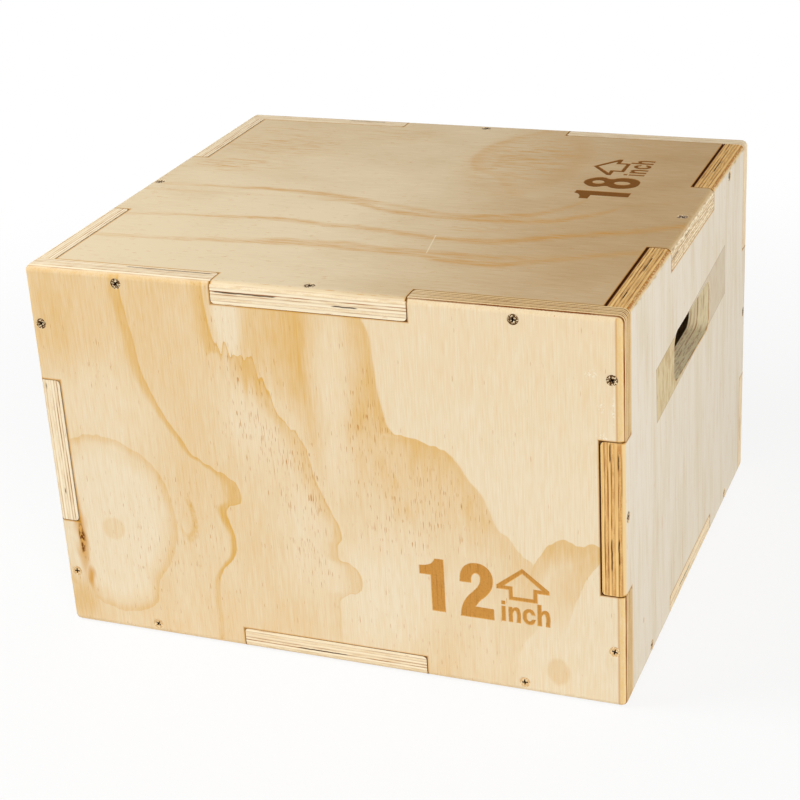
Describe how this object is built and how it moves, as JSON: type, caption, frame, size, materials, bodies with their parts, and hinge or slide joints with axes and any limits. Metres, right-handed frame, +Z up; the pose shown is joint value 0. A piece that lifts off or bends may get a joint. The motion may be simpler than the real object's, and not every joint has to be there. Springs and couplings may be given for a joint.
{
  "type": "plyo box",
  "caption": "Hollow plywood plyo box with finger-jointed, screwed panels and hand slots in its sides, for jumping and stepping onto; it stands on any face to change its height.",
  "frame": {"origin": "middle of the underside, on the floor", "axes": "+X along the width to the right of the front face, +Y from the front face to the back, +Z up"},
  "size_m": [0.4572, 0.4064, 0.3048],
  "materials": {
    "pine_plywood": "sanded, bare pine",
    "screw_steel": "yellow-brown zinc plating, dulled"
  },
  "bodies": {
    "root": {"back_panel": "pine_plywood", "back_screw_bottom_edge_left": "screw_steel", "back_screw_bottom_edge_right": "screw_steel", "back_screw_left_edge_bottom": "screw_steel", "back_screw_left_edge_top": "screw_steel", "back_screw_right_edge_bottom": "screw_steel", "back_screw_right_edge_top": "screw_steel", "back_screw_top_edge_left": "screw_steel", "back_screw_top_edge_right": "screw_steel", "bottom_panel": "pine_plywood", "bottom_screw_back_edge_tab": "screw_steel", "bottom_screw_front_edge_tab": "screw_steel", "bottom_screw_left_edge_tab": "screw_steel", "bottom_screw_right_edge_tab": "screw_steel", "front_panel": "pine_plywood", "front_screw_bottom_edge_left": "screw_steel", "front_screw_bottom_edge_right": "screw_steel", "front_screw_left_edge_bottom": "screw_steel", "front_screw_left_edge_top": "screw_steel", "front_screw_right_edge_bottom": "screw_steel", "front_screw_right_edge_top": "screw_steel", "front_screw_top_edge_left": "screw_steel", "front_screw_top_edge_right": "screw_steel", "left_panel": "pine_plywood", "left_screw_back_edge_tab": "screw_steel", "left_screw_bottom_edge_back": "screw_steel", "left_screw_bottom_edge_front": "screw_steel", "left_screw_front_edge_tab": "screw_steel", "left_screw_top_edge_back": "screw_steel", "left_screw_top_edge_front": "screw_steel", "right_panel": "pine_plywood", "right_screw_back_edge_tab": "screw_steel", "right_screw_bottom_edge_back": "screw_steel", "right_screw_bottom_edge_front": "screw_steel", "right_screw_front_edge_tab": "screw_steel", "right_screw_top_edge_back": "screw_steel", "top_panel": "pine_plywood", "top_screw_back_edge_tab": "screw_steel", "top_screw_front_edge_tab": "screw_steel", "top_screw_left_edge_tab": "screw_steel", "top_screw_right_edge_tab": "screw_steel"}
  },
  "joints": []
}
